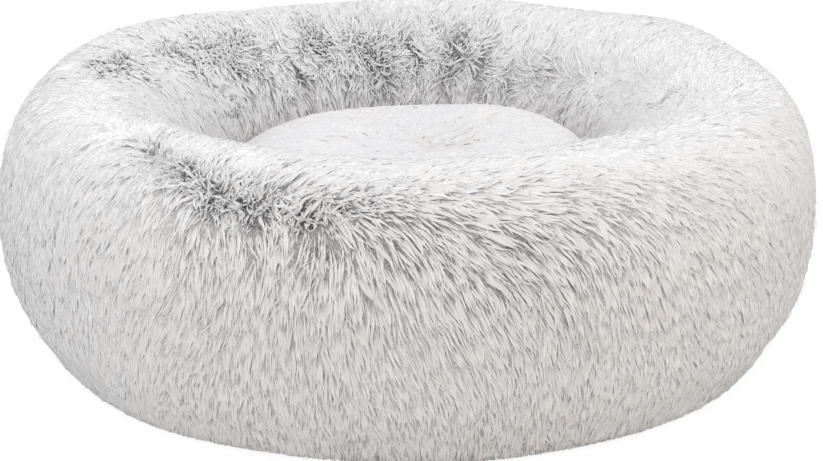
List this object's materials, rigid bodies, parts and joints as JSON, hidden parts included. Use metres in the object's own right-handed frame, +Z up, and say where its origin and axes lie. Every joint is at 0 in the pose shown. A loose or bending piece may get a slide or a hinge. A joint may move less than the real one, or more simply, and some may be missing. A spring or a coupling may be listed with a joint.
{
  "type": "round pet bed",
  "caption": "Round stuffed pet bed: a long-pile bolster ring round a domed seat, on a flat fabric base that opens with a zip.",
  "frame": {"origin": "on the floor under the middle of the bed", "axes": "+Z up through the middle of the nest; the pictured front faces -Y; the base zip runs along X"},
  "size_m": [0.6, 0.6, 0.2],
  "materials": {
    "bolster_fur": "matte",
    "seat_fur": "matte",
    "liner_cloth": "matte",
    "fibre_fill": "matte",
    "base_cloth": "matte",
    "zip_tape": "matte",
    "zip_metal": "satin"
  },
  "bodies": {
    "bed": {"bolster_cover_left": "bolster_fur", "bolster_cover_right": "bolster_fur", "bolster_liner": "liner_cloth", "bolster_fill": "fibre_fill", "seat_cover": "seat_fur", "seat_liner": "liner_cloth", "seat_fill": "fibre_fill", "base_panel": "base_cloth", "zip_facing": "base_cloth", "zip_tape_front": "zip_tape", "zip_tape_rear": "zip_tape", "zip_bottom_stop": "zip_metal"},
    "slider": {"zip_slider": "zip_metal"},
    "pull": {"zip_pull_tab": "zip_metal"}
  },
  "joints": [
    {"name": "zip_slide", "type": "slide", "parent": "bed", "child": "slider", "axis": [-1, 0, 0], "range_m": [0, 0.2], "deforming": ["zip_tape_front", "zip_tape_rear"]},
    {"name": "pull_swing", "type": "hinge", "parent": "slider", "child": "pull", "pos_m": [0.1072, 0, 0.0029], "axis": [0, -1, 0], "range_deg": [0, 160]}
  ]
}
